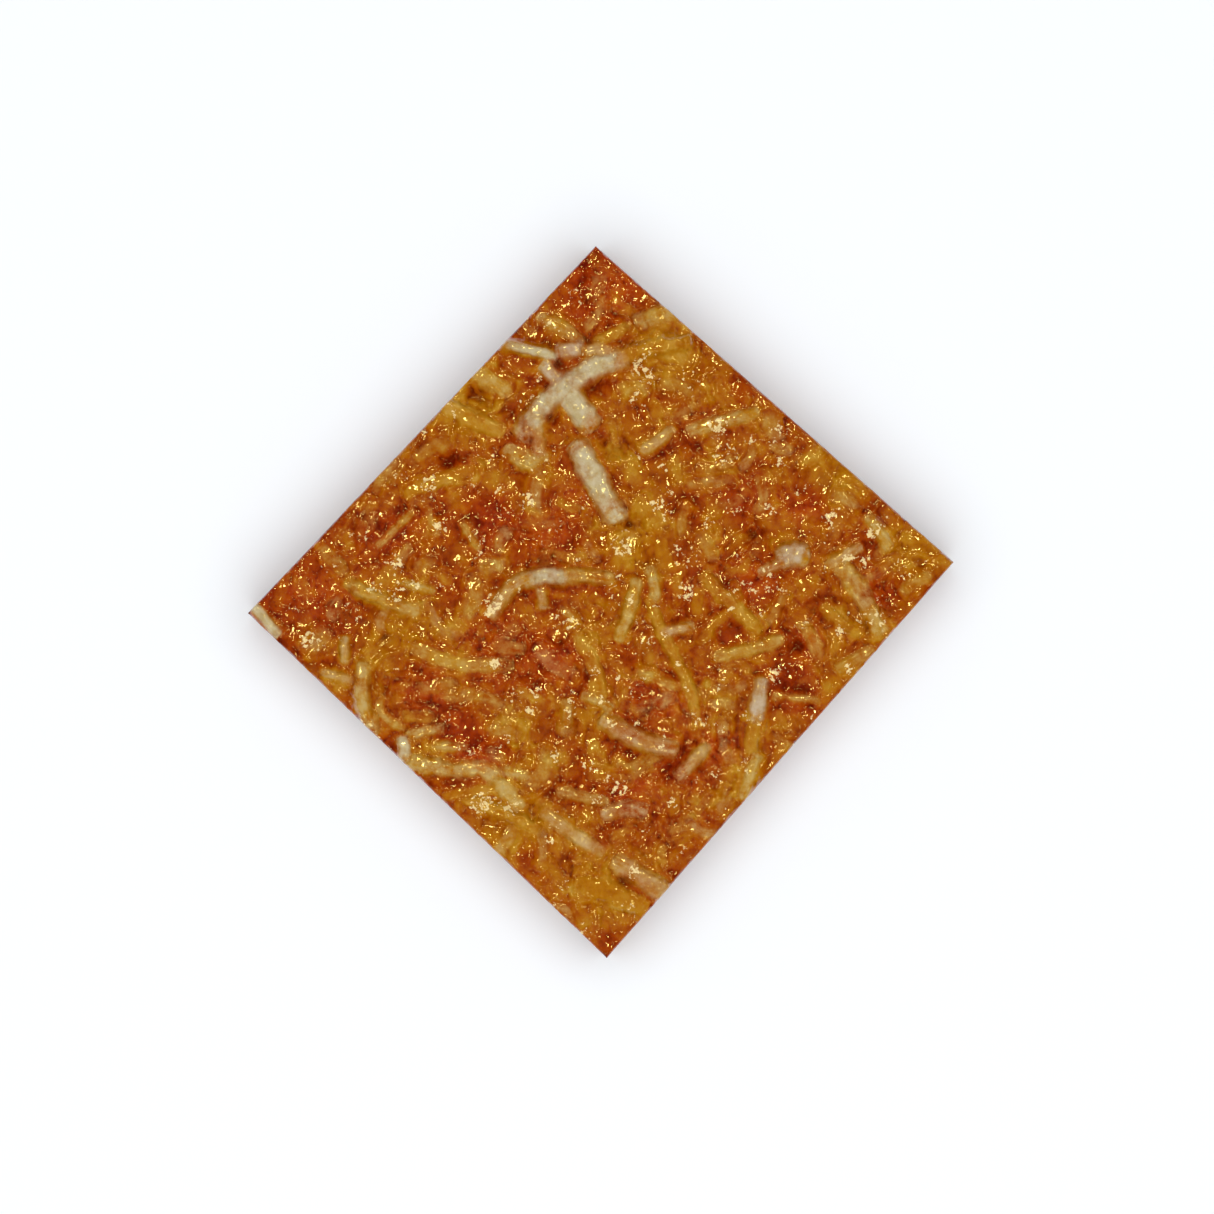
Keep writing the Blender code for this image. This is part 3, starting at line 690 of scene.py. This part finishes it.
def lift_over(points, height, coat, shreds, cover, softness, moat, most, raggedness):
    """Lifts the skin over shreds, and marks where their flesh shows through it."""
    for number, shred in enumerate(shreds):
        spine, half = shred["back"], shred["width"] / 2
        margin = NEAR_WIDTHS * half + NEAR_ROOM
        low, high = spine[:, :2].min(0) - margin, spine[:, :2].max(0) + margin
        near = np.flatnonzero(((points > low) & (points < high)).all(1))
        if not len(near):
            continue
        nearest, away, aside, beyond = place_on_shred(points[near], spine[:, :2])
        aside /= half
        off = np.hypot(aside, BLUNT * beyond / half) * outline_wobble(points[near], number, raggedness)

        shoulder = np.maximum(off - FLAT_SHARE, 0.0) / (1.0 - FLAT_SHARE)
        crown = spine[nearest, 2] + cover + CROWN_RELIEF * coat["relief"][near]
        crown += LEAN * half * aside * math.sin(LEAN_DRAW * number) * np.cos(TWIST * nearest + number)
        crown -= SHOULDER_DROP * half * shoulder**2 + CROWN_DROP * half * off**2
        before = height[near] + COLLAR * most * ridge(off, *COLLAR_PLACE)
        beside = away[:, 1] < MOAT_SIDE * half
        wavy = 0.5 + 0.5 * np.sin(nearest * MOAT_WAVE + number)
        before -= moat * ridge(off, *MOAT_PLACE) * beside * wavy
        height[near] = smooth_max(before, crown, softness)

        seen = smooth_step(*SEEN_RISE, crown - before)
        share = most * (FAINTEST + (1.0 - FAINTEST) * (GOLDEN_RATIO * number % 1.0))
        shows = share * smooth_step(*SHOWS_EDGE, off) * seen
        coat["shows"][near] = np.maximum(coat["shows"][near], shows)
        tint = np.array(FLESH[shred["flesh"]])
        coat["flesh"][near] += (tint - coat["flesh"][near]) * (shows / share)[:, None]
        halo = most * smooth_step(*HALO_EDGE, off) * seen
        coat["halo"][near] = np.maximum(coat["halo"][near], halo)

        tip = np.minimum(nearest, SPINE_POINTS - 1 - nearest) / SPINE_POINTS
        glazed_end = 0.5 + 0.5 * np.sin(3.1 * number + 2.0 * (nearest > SPINE_POINTS / 2))
        bare = smooth_step(*BARE_EDGE, off) * seen * BARE_FLESH.get(shred["flesh"], 0.0)
        bare *= smooth_step(-0.10, GLAZED_END * glazed_end, tip - 0.1 * beyond)
        coat["bare"][near] = np.maximum(coat["bare"][near], bare)

        kept = shows > 0.05 * most
        length = np.hypot(*np.diff(spine[:, :2], axis=0).T).sum()
        onward = length * nearest[kept] / SPINE_POINTS
        coat["strand"][near[kept], 0] = onward + STRAND_APART * number
        coat["strand"][near[kept], 1] = aside[kept]


def boiled_share(points):
    """How long the sugar boiled at each (x, y): above 0 it is deep red, below 0 golden."""
    share = BOILED_DRIFT * lattice_noise(points, BOILED_SIZE, 11.0)
    for pools, weight in ((DEEP_POOLS, 1.0), (GOLDEN_POOLS, -1.0)):
        for pool in pools:
            share += weight * round_spot(points, *pool)
    return np.clip(share, -1.0, 1.0)


def painted_glint_share(points):
    """How thickly the painted highlight spots lie at each (x, y), from 0 to 1."""
    share = PAINTED_GLINT_HAZE * smooth_step(0.05, 0.45, lattice_noise(points, 2.4, 17.0))
    for cluster in PAINTED_GLINT_SPOTS:
        share += PAINTED_GLINT_CLUSTER * round_spot(points, *cluster)
    return np.clip(share, 0.0, 1.0)


def blurred(grid, steps):
    """A grid of heights, averaged with its neighbours again and again."""
    for step in range(steps):
        padded = np.pad(grid, 1, mode="edge")
        beside = padded[:-2, 1:-1] + padded[2:, 1:-1] + padded[1:-1, :-2] + padded[1:-1, 2:]
        grid = (padded[1:-1, 1:-1] * 2 + beside) / 6
    return grid


def set_attribute(mesh, name, kind, values):
    attribute = mesh.attributes.new(name, kind, "POINT")
    field = {"FLOAT": "value", "FLOAT_COLOR": "color", "FLOAT_VECTOR": "vector"}[kind]
    attribute.data.foreach_set(field, np.asarray(values, np.float32).ravel())


def along_the_sides(point):
    """How far round the cut sides a point on them is, in millimetres."""
    reached = 0.0
    best = (math.inf, 0.0)
    for index, corner in enumerate(CORNERS):
        side = CORNERS[(index + 1) % 4] - corner
        length = np.hypot(*side)
        on_it = (point - corner) @ side / length
        apart = abs(side[0] * (point - corner)[1] - side[1] * (point - corner)[0]) / length
        if -1e-6 <= on_it <= length + 1e-6:
            best = min(best, (apart, reached + on_it))
        reached += length
    return best[1]


def square_slab():
    """A closed block over a square metre, with a fine grid on top and rows down its sides."""
    bpy.ops.object.select_all(action="DESELECT")
    bpy.ops.mesh.primitive_grid_add(x_subdivisions=TOP_CELLS, y_subdivisions=TOP_CELLS, size=1.0)
    slab = bpy.context.object
    top_count = len(slab.data.vertices)
    bpy.ops.object.mode_set(mode="EDIT")
    bpy.ops.mesh.select_mode(type="EDGE")
    bpy.ops.mesh.select_all(action="SELECT")
    bpy.ops.mesh.region_to_loop()
    for row in range(SIDE_ROWS):
        bpy.ops.mesh.extrude_edges_move(TRANSFORM_OT_translate={"value": (0.0, 0.0, -1.0)})
    bpy.ops.mesh.edge_face_add()
    bpy.ops.mesh.select_all(action="SELECT")
    bpy.ops.mesh.normals_make_consistent(inside=False)
    bpy.ops.object.mode_set(mode="OBJECT")
    return slab, top_count


def on_cut_piece(square):
    """The (x, y) on the cut piece of each point of the square, between the piece's corners."""
    across, along = square[:, :1] + 0.5, square[:, 1:2] + 0.5
    near, right, far, left = CORNERS
    near_side = near * (1 - across) + right * across
    far_side = left * (1 - across) + far * across
    return near_side * (1 - along) + far_side * along


def poured_top(top):
    """The height of the top at each (x, y), and the coat of looks that lies on it."""
    height = poured_height(top)
    bits, bit_draws = cell_domes(top, BIT_SIZE)
    relief = LUMP_HEIGHT * lattice_noise(top, LUMP_SIZE)
    relief += BIT_HEIGHT * smooth_step(-0.2, 0.6, bit_draws) * (bits - 0.5)
    height += relief
    coat = {
        "relief": relief,
        "flesh": np.tile(np.array(FLESH["amber"]), (len(top), 1)),
        "shows": np.zeros(len(top)),
        "bare": np.zeros(len(top)),
        "halo": np.zeros(len(top)),
        "strand": np.zeros((len(top), 3)),
    }
    lift_over(top, height, coat, drowned_shreds, **DROWNED_COAT)
    lift_over(top, height, coat, short_shreds, **SHORT_COAT)
    lift_over(top, height, coat, glazed_shreds, **GLAZED_COAT)
    lift_over(top, height, coat, bare_shreds, **BARE_COAT)
    rough = smooth_step(-0.25, 0.35, lattice_noise(top, GRAIN_PATCH, 7.0))
    patches = LEAST_GRAIN + (1.0 - LEAST_GRAIN) * rough
    grains, grain_draws = cell_domes(top, GRAIN_SIZE)
    height += GRAIN_HEIGHT * patches * (grains - 0.4)
    coat["bits"] = 0.65 * bit_draws * bits + 0.35 * grain_draws * patches
    return height, coat


def low_places(top, height):
    """How far each point lies below what is around it, and below what is right beside it; the sugar is
    darkened there as painted shade, the wide hollows partly also for thicker caramel.
    """
    # The top's vertices run row by row, so they are also a square grid.
    side = TOP_CELLS + 1
    poured = poured_height(top)
    capped = (poured + PEAK * np.tanh((height - poured) / PEAK)).reshape(side, side)
    deep_caramel_and_shade = blurred(capped, BLUR_STEPS) - capped
    crease_shade = blurred(capped, CREASE_STEPS) - capped
    return deep_caramel_and_shade.ravel(), crease_shade.ravel()


def on_top(values, count, elsewhere=0.0):
    """The top's values for a mesh of this many points, whose other points all have one value."""
    spread = np.full((count, *np.shape(values)[1:]), elsewhere)
    spread[: len(values)] = values
    return spread


def place_key(point):
    return round(point[0], 5), round(point[1], 5)


def pour_caramel():
    slab, top_count = square_slab()
    slab.name = "caramel"
    mesh = slab.data
    count = len(mesh.vertices)
    square = np.empty(count * 3, np.float32)
    mesh.vertices.foreach_get("co", square)
    square = square.reshape(-1, 3).astype(float)
    flat = on_cut_piece(square)

    height, coat = poured_top(flat[:top_count])
    deep_caramel_and_shade, crease_shade = low_places(flat[:top_count], height)
    rim = np.flatnonzero(np.abs(square[:top_count, :2]).max(1) > 0.4999)
    rim_above = {place_key(square[index]): index for index in rim}

    z = on_top(height, count)
    shows = on_top(coat["shows"], count)
    wall = np.zeros((count, 3))
    middle = CORNERS.mean(0)
    for index in range(top_count, count):
        above = rim_above[place_key(square[index])]
        row = round(-square[index, 2])
        left = 1.0 - row / SIDE_ROWS
        z[index] = height[above] * left
        wall[index] = along_the_sides(flat[index]), z[index], 0.0
        if row < SIDE_ROWS:
            spot = Vector((*flat[index], z[index]))
            dent = SIDE_DENT * (0.5 + 0.5 * noise.noise(spot / 0.9) + 0.3 * noise.noise(spot / 0.35))
            inward = middle - flat[index]
            flat[index] += inward / np.hypot(*inward) * max(0.0, dent)
            shows[index] = coat["shows"][above] * left
    z[rim] -= BEVEL
    for index in rim:
        wall[index] = along_the_sides(flat[index]), z[index], 0.0
    mesh.vertices.foreach_set("co", (np.column_stack([flat, z]) * MM).astype(np.float32).ravel())

    boiled = boiled_share(flat) - HALO_GOLD * on_top(coat["halo"], count)
    set_attribute(mesh, "wall", "FLOAT_VECTOR", wall)
    # The depths below the neighbours carry the painted shade of hollows and creases.
    set_attribute(mesh, "deep_caramel_and_shade", "FLOAT", on_top(deep_caramel_and_shade, count))
    set_attribute(mesh, "crease_shade", "FLOAT", on_top(crease_shade, count))
    set_attribute(mesh, "shows", "FLOAT", shows)
    set_attribute(mesh, "bare", "FLOAT", on_top(coat["bare"], count))
    set_attribute(mesh, "boiled", "FLOAT", boiled)
    set_attribute(mesh, "bits", "FLOAT", on_top(coat["bits"], count))
    set_attribute(mesh, "painted_glint_amount", "FLOAT", painted_glint_share(flat))
    set_attribute(mesh, "strand", "FLOAT_VECTOR", on_top(coat["strand"], count))
    set_attribute(mesh, "flesh", "FLOAT_COLOR", on_top(coat["flesh"], count, FLESH["amber"]))
    mesh.update()
    return slab


def add_node(tree, kind, inputs=None, **settings):
    """A new node, with its inputs given as values or as other nodes' outputs."""
    made = tree.nodes.new(kind)
    for name, value in settings.items():
        setattr(made, name, value)
    for name, value in (inputs or {}).items():
        if isinstance(value, bpy.types.NodeSocket):
            tree.links.new(value, made.inputs[name])
        else:
            made.inputs[name].default_value = value
    return made


def noise_texture(tree, place, scale, detail, roughness, output="Fac"):
    inputs = {"Vector": place, "Scale": scale, "Detail": detail, "Roughness": roughness}
    return add_node(tree, "ShaderNodeTexNoise", inputs).outputs[output]


def worked_out(tree, operation, first, second):
    """A Math node's result."""
    return add_node(tree, "ShaderNodeMath", {0: first, 1: second}, operation=operation).outputs[0]


def attribute(tree, name, output="Fac"):
    return add_node(tree, "ShaderNodeAttribute", attribute_name=name).outputs[output]


def new_group(name, inputs, outputs):
    """An empty node group with these sockets, given as name and kind of value."""
    group = bpy.data.node_groups.new(name, "ShaderNodeTree")
    for in_out, sockets in (("INPUT", inputs), ("OUTPUT", outputs)):
        for socket, kind in sockets.items():
            group.interface.new_socket(socket, in_out=in_out, socket_type=f"NodeSocket{kind}")
    return group, group.nodes.new("NodeGroupInput"), group.nodes.new("NodeGroupOutput")


def grain_group():
    """Boiled sugar's grain: fine bubbles and pits, as a height and as a mottled mask."""
    group, given, result = new_group(
        "sugar grain",
        {"Place": "Vector", "Coarse": "Float", "Fine": "Float"},
        {"Height": "Float", "Mottle": "Float"},
    )
    place = given.outputs["Place"]
    raised = worked_out(
        group, "MULTIPLY", noise_texture(group, place, RIPPLE_SCALE, 1.0, 0.35), given.outputs["Coarse"]
    )
    bubbles = add_node(group, "ShaderNodeTexVoronoi", {"Vector": place, "Scale": BUBBLE_SCALE})
    rounded = worked_out(group, "POWER", bubbles.outputs["Distance"], 2.0)
    pitted = worked_out(group, "MULTIPLY", rounded, given.outputs["Fine"])
    mottle = noise_texture(group, place, MOTTLE_SCALE, 4.0, 0.65)
    group.links.new(worked_out(group, "SUBTRACT", raised, pitted), result.inputs["Height"])
    group.links.new(mottle, result.inputs["Mottle"])
    return group


SUGAR_GRAIN = grain_group()


def mixed(tree, factor, first, second, mode="MIX"):
    """A colour between two colours."""
    mix = tree.nodes.new("ShaderNodeMix")
    mix.data_type = "RGBA"
    mix.blend_type = mode
    for socket, value in ((mix.inputs[0], factor), (mix.inputs[6], first), (mix.inputs[7], second)):
        if isinstance(value, bpy.types.NodeSocket):
            tree.links.new(value, socket)
        else:
            socket.default_value = value
    return mix.outputs[2]


def ranged(tree, value, low, high, to_low=0.0, to_high=1.0):
    """A value from one range carried over to another, and kept inside it."""
    return add_node(
        tree,
        "ShaderNodeMapRange",
        {"Value": value, "From Min": low, "From Max": high, "To Min": to_low, "To Max": to_high},
    ).outputs["Result"]


def ramp(tree, value, stops):
    """A colour ramp through (position, colour) stops."""
    made = add_node(tree, "ShaderNodeValToRGB", {"Fac": value})
    while len(made.color_ramp.elements) < len(stops):
        made.color_ramp.elements.new(0.5)
    for element, (position, colour) in zip(made.color_ramp.elements, stops):
        element.position = position
        element.color = colour
    return made.outputs["Color"]


def added(tree, *values):
    """The sum of several values."""
    total = values[0]
    for value in values[1:]:
        total = worked_out(tree, "ADD", total, value)
    return total


def grain_on(tree, place, coarse, fine):
    """The sugar's grain on one material: its height and its mottle."""
    grain = add_node(tree, "ShaderNodeGroup", node_tree=SUGAR_GRAIN)
    tree.links.new(place, grain.inputs["Place"])
    grain.inputs["Coarse"].default_value = coarse
    grain.inputs["Fine"].default_value = fine
    return grain.outputs["Height"], grain.outputs["Mottle"]


def sugar_colour(tree, mottle, broad):
    """Boiled sugar, from nearly black in the hollows, partly thicker caramel and partly painted shade,
    to gold on the bumps, in its two kinds.
    """
    deep_caramel_and_shade = attribute(tree, "deep_caramel_and_shade")
    boiled = attribute(tree, "boiled")
    tone = added(
        tree,
        # Painted shade: the tone darkens in hollows and creases, the hollows partly also for thicker
        # caramel.
        ranged(tree, deep_caramel_and_shade, -0.25, 0.40, 0.66, 0.03),
        ranged(tree, attribute(tree, "crease_shade"), 0.01, 0.08, 0.0, -0.15),
        ranged(tree, mottle, *NOISE_SPAN, -0.15, 0.15),
        ranged(tree, broad, *NOISE_SPAN, -0.19, 0.19),
        ranged(tree, boiled, -1.0, 1.0, 0.14, -0.17),
        ranged(tree, attribute(tree, "bits"), -1.0, 1.0, -0.24, 0.24),
        ranged(tree, attribute(tree, "shows"), 0.0, 1.0, 0.0, 0.16),
    )
    golden = added(
        tree,
        boiled,
        ranged(tree, broad, *NOISE_SPAN, 0.45, -0.45),
        ranged(tree, deep_caramel_and_shade, -0.15, 0.15, -0.35, 0.35),
    )
    sugar = mixed(
        tree,
        ranged(tree, golden, 0.25, -0.85),
        ramp(tree, tone, LONG_BOILED),
        ramp(tree, tone, JUST_BOILED),
    )
    reddest = added(tree, boiled, ranged(tree, broad, *NOISE_SPAN, -0.4, 0.4))
    return mixed(tree, ranged(tree, reddest, 0.05, 1.0, 0.0, 0.7), sugar, REDDENED, "MULTIPLY")


def bare_share(tree, mottle, broad):
    """How much of the coconut is free of glaze, with a torn edge."""
    bare = attribute(tree, "bare")
    torn_edge = added(
        tree,
        bare,
        ranged(tree, broad, *NOISE_SPAN, -0.30, 0.30),
        ranged(tree, mottle, *NOISE_SPAN, -0.24, 0.24),
        # Painted shade: in the creases the pale flesh gives way to dark sugar.
        ranged(tree, attribute(tree, "crease_shade"), 0.02, 0.10, 0.0, -0.6),
    )
    uncoated = ranged(tree, torn_edge, 0.12, 1.05, 0.0, 0.90)
    return worked_out(tree, "MULTIPLY", uncoated, ranged(tree, bare, 0.0, 0.6))


def caramel_material():
    material, tree, shader = new_material("caramel")
    place = add_node(tree, "ShaderNodeTexCoord").outputs["Object"]
    grain_height, mottle = grain_on(tree, place, 1.0, 4.5)
    broad = noise_texture(tree, place, BROAD_SCALE, 3.0, 0.55)
    strand = attribute(tree, "strand", "Vector")
    combed = add_node(tree, "ShaderNodeMapping", {"Vector": strand, "Scale": FIBRE_SCALE})
    fibre = noise_texture(tree, combed.outputs["Vector"], 1.0, 2.0, 0.55)

    # The coconut is glimpsed through the glaze in patches, and bare where it is not coated.
    shows = attribute(tree, "shows")
    patchy = added(
        tree,
        ranged(tree, mottle, 0.36, 0.64, -0.10, 0.70),
        ranged(tree, fibre, 0.36, 0.62, 0.0, 0.30),
    )
    glimpsed = worked_out(tree, "MULTIPLY", shows, patchy)
    uncoated = bare_share(tree, mottle, broad)
    through = worked_out(tree, "MAXIMUM", glimpsed, uncoated)
    specked = added(
        tree,
        ranged(tree, mottle, 0.34, 0.62, 0.0, 0.8),
        ranged(tree, fibre, 0.36, 0.62, 0.0, 0.3),
    )
    specks = mixed(tree, specked, FLESH_SPECK, (1.0, 1.0, 1.0, 1.0))
    flesh = mixed(tree, 1.0, attribute(tree, "flesh", "Color"), specks, "MULTIPLY")
    coated = mixed(tree, through, sugar_colour(tree, mottle, broad), flesh)

    # Painted highlights: white spots at the peaks of a fine noise, and more of them where they lie
    # thickly.
    painted_glint_amount = ranged(tree, attribute(tree, "painted_glint_amount"), 0.0, 1.0, 0.0, 0.31)
    painted_glint_noise = noise_texture(tree, place, PAINTED_GLINT_SCALE, 2.0, 0.6)
    painted_glint_mask = ranged(tree, added(tree, painted_glint_noise, painted_glint_amount), 0.80, 0.88, 0.0, 0.9)
    with_painted_glints = mixed(tree, painted_glint_mask, coated, PAINTED_GLINT_COLOUR)
    tree.links.new(with_painted_glints, shader.inputs["Base Color"])

    combed_height = worked_out(tree, "MULTIPLY", shows, ranged(tree, fibre, 0.0, 1.0, 0.0, 0.4))
    roughened = added(
        tree,
        ranged(tree, shows, 0.2, 0.9, 0.75, 0.25),
        ranged(tree, broad, 0.4, 0.62, -0.35, 0.45),
    )
    height = added(tree, worked_out(tree, "MULTIPLY", grain_height, roughened), combed_height)
    bump = add_node(tree, "ShaderNodeBump", {"Height": height, "Distance": TOP_BUMP, "Strength": 1.0})
    tree.links.new(bump.outputs["Normal"], shader.inputs["Normal"])
    dulled = added(
        tree,
        ranged(tree, broad, *NOISE_SPAN, 0.07, 0.13),
        ranged(tree, uncoated, 0.0, 1.0, 0.0, 0.10),
    )
    tree.links.new(dulled, shader.inputs["Roughness"])
    shader.inputs["IOR"].default_value = 1.5
    shader.inputs["Specular IOR Level"].default_value = 0.7
    shader.inputs["Coat Weight"].default_value = 0.7
    shader.inputs["Coat Roughness"].default_value = 0.07
    shader.inputs["Coat IOR"].default_value = 1.5
    return material


def shred_ends_group():
    """The ends of buried shreds where a flat face meets them, as a mask and a tone for each."""
    group, given, result = new_group(
        "shred ends", {"Place": "Vector"}, {"Mask": "Float", "Tone": "Float"}
    )
    place = given.outputs["Place"]
    bent = add_node(
        group,
        "ShaderNodeVectorMath",
        {0: noise_texture(group, place, 1.1, 3.0, 0.65, "Color"), 1: (ENDS_WOBBLE,) * 3, 2: place},
        operation="MULTIPLY_ADD",
    ).outputs[0]
    mask, tone = 0.0, 0.0
    for turn, size in ENDS_LAYERS:
        laid = {"Vector": bent, "Rotation": (0.0, 0.0, turn), "Scale": (*size, 1.0)}
        laid["Location"] = (turn, 0.0, 0.0)
        turned = add_node(group, "ShaderNodeMapping", laid, vector_type="TEXTURE").outputs["Vector"]
        cells = add_node(
            group, "ShaderNodeTexVoronoi", {"Vector": turned, "Scale": 1.0}, voronoi_dimensions="2D"
        )
        draws = add_node(group, "ShaderNodeSeparateColor", {"Color": cells.outputs["Color"]})
        # A cell holds an end only where its draw is high enough, and ends differ in size.
        edge = added(
            group,
            cells.outputs["Distance"],
            ranged(group, draws.outputs["Green"], 0.0, 1.0, 0.02, -0.16),
            ranged(group, draws.outputs["Red"], EMPTY_SHARE, EMPTY_SHARE + 0.02, 1.0, 0.0),
        )
        end = ranged(group, edge, 0.36, 0.24)
        mask = worked_out(group, "MAXIMUM", mask, end)
        tone_of_end = worked_out(group, "MULTIPLY", draws.outputs["Blue"], end)
        tone = worked_out(group, "MAXIMUM", tone, tone_of_end)
    group.links.new(mask, result.inputs["Mask"])
    group.links.new(tone, result.inputs["Tone"])
    return group


SHRED_ENDS = shred_ends_group()


def cut_caramel_material(name, millimetres):
    """A flat face of the same sugar, smeared duller, with the ends of buried shreds in it."""
    material, tree, shader = new_material(name)
    place = add_node(tree, "ShaderNodeTexCoord").outputs["Object"]
    if millimetres:
        spot = attribute(tree, millimetres, "Vector")
    else:
        enlarged = add_node(tree, "ShaderNodeMapping", {"Vector": place, "Scale": (1 / MM,) * 3})
        spot = enlarged.outputs["Vector"]
    grain_height, mottle = grain_on(tree, place, 0.8, 1.0)
    ends = add_node(tree, "ShaderNodeGroup", node_tree=SHRED_ENDS)
    tree.links.new(spot, ends.inputs["Place"])
    seams = noise_texture(tree, place, SEAM_SCALE, 3.0, 0.6)
    tone = added(
        tree,
        ranged(tree, seams, 0.32, 0.68, 0.0, 0.75),
        ranged(tree, mottle, *NOISE_SPAN, -0.15, 0.25),
    )
    flesh = mixed(tree, ends.outputs["Tone"], FLESH["amber"], FLESH["tan"])
    smeared = ranged(tree, mottle, 0.35, 0.65, 0.25, 0.7)
    cover = worked_out(tree, "MULTIPLY", ends.outputs["Mask"], smeared)
    tree.links.new(mixed(tree, cover, ramp(tree, tone, CUT_SUGAR), flesh), shader.inputs["Base Color"])
    height = added(tree, grain_height, ranged(tree, ends.outputs["Mask"], 0.0, 1.0, 0.0, 0.6))
    bump = add_node(tree, "ShaderNodeBump", {"Height": height, "Distance": CUT_BUMP, "Strength": 1.0})
    tree.links.new(bump.outputs["Normal"], shader.inputs["Normal"])
    tree.links.new(ranged(tree, seams, *NOISE_SPAN, 0.20, 0.34), shader.inputs["Roughness"])
    shader.inputs["Specular IOR Level"].default_value = 0.12
    return material


def place_piece(piece):
    """Every piece is the brittle: it rides with it and stands for it."""
    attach(piece, "root")
    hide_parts("brittle")


def shade(piece, angle):
    bpy.ops.object.select_all(action="DESELECT")
    piece.select_set(True)
    bpy.context.view_layer.objects.active = piece
    bpy.ops.object.shade_smooth_by_angle(angle=math.radians(angle))


caramel = pour_caramel()
caramel.data.materials.append(caramel_material())
caramel.data.materials.append(cut_caramel_material("cut caramel", "wall"))
caramel.data.materials.append(cut_caramel_material("under caramel", ""))
for face in caramel.data.polygons:
    face.material_index = 0 if face.normal.z > WALL_SLOPE else 2 if face.normal.z < -0.5 else 1
shade(caramel, 60.0)
place_piece(caramel)
